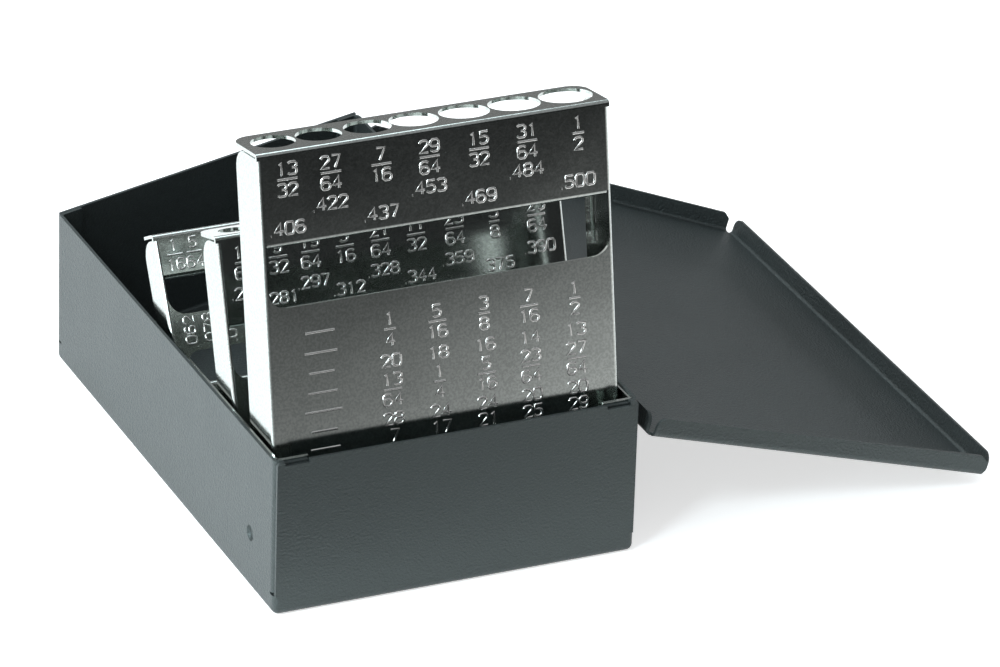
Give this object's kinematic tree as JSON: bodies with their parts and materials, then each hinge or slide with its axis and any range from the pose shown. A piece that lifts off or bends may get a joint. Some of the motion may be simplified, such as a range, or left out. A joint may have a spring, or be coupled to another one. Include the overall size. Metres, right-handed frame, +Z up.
{
  "type": "drill index case",
  "caption": "folded steel case with a hinged tray lid and three tilting racks of graded holes that swing up to hold twist drills",
  "frame": {"origin": "middle of the front wall's width, 80 mm behind the front wall's outer face, on the resting plane", "axes": "+X to the right along the front wall, towards the hinge side, +Y back, +Z up"},
  "size_m": [0.1889, 0.1774, 0.1103],
  "materials": {
    "grey_paint": "fine textured satin paint",
    "plated_steel": "dull zinc plate",
    "hinge_wire": "drawn wire",
    "rivet_steel": "bright plate"
  },
  "bodies": {
    "case": {"box_body": "grey_paint", "hinge_leaf": "grey_paint", "hinge_pin": "hinge_wire", "left_bracket": "plated_steel", "right_bracket": "plated_steel", "front_pivot_left": "rivet_steel", "front_pivot_right": "rivet_steel", "middle_pivot_left": "rivet_steel", "middle_pivot_right": "rivet_steel", "rear_pivot_left": "rivet_steel", "rear_pivot_right": "rivet_steel"},
    "lid": {"lid": "grey_paint"},
    "front_rack": {"front_rack": "plated_steel"},
    "middle_rack": {"middle_rack": "plated_steel"},
    "rear_rack": {"rear_rack": "plated_steel"}
  },
  "joints": [
    {"name": "lid_hinge", "type": "hinge", "parent": "case", "child": "lid", "pos_m": [0.0492, -0.01, 0.036], "axis": [0, -1, 0], "range_deg": [0, 105]},
    {"name": "rack_lift", "type": "hinge", "parent": "case", "child": "front_rack", "pos_m": [0, -0.067, 0.0324], "axis": [-1, 0, 0], "range_deg": [0, 80]},
    {"name": "middle_rack_lift", "type": "hinge", "parent": "case", "child": "middle_rack", "pos_m": [0, -0.04995, 0.0169], "axis": [-1, 0, 0], "range_deg": [0, 71.93]},
    {"name": "rear_rack_lift", "type": "hinge", "parent": "case", "child": "rear_rack", "pos_m": [0, -0.0213, 0.0054], "axis": [-1, 0, 0], "range_deg": [0, 61]}
  ],
  "couplings": [
    {"joint": "middle_rack_lift", "follows": "rack_lift", "ratio": 0.899},
    {"joint": "rear_rack_lift", "follows": "rack_lift", "ratio": 0.7625}
  ]
}
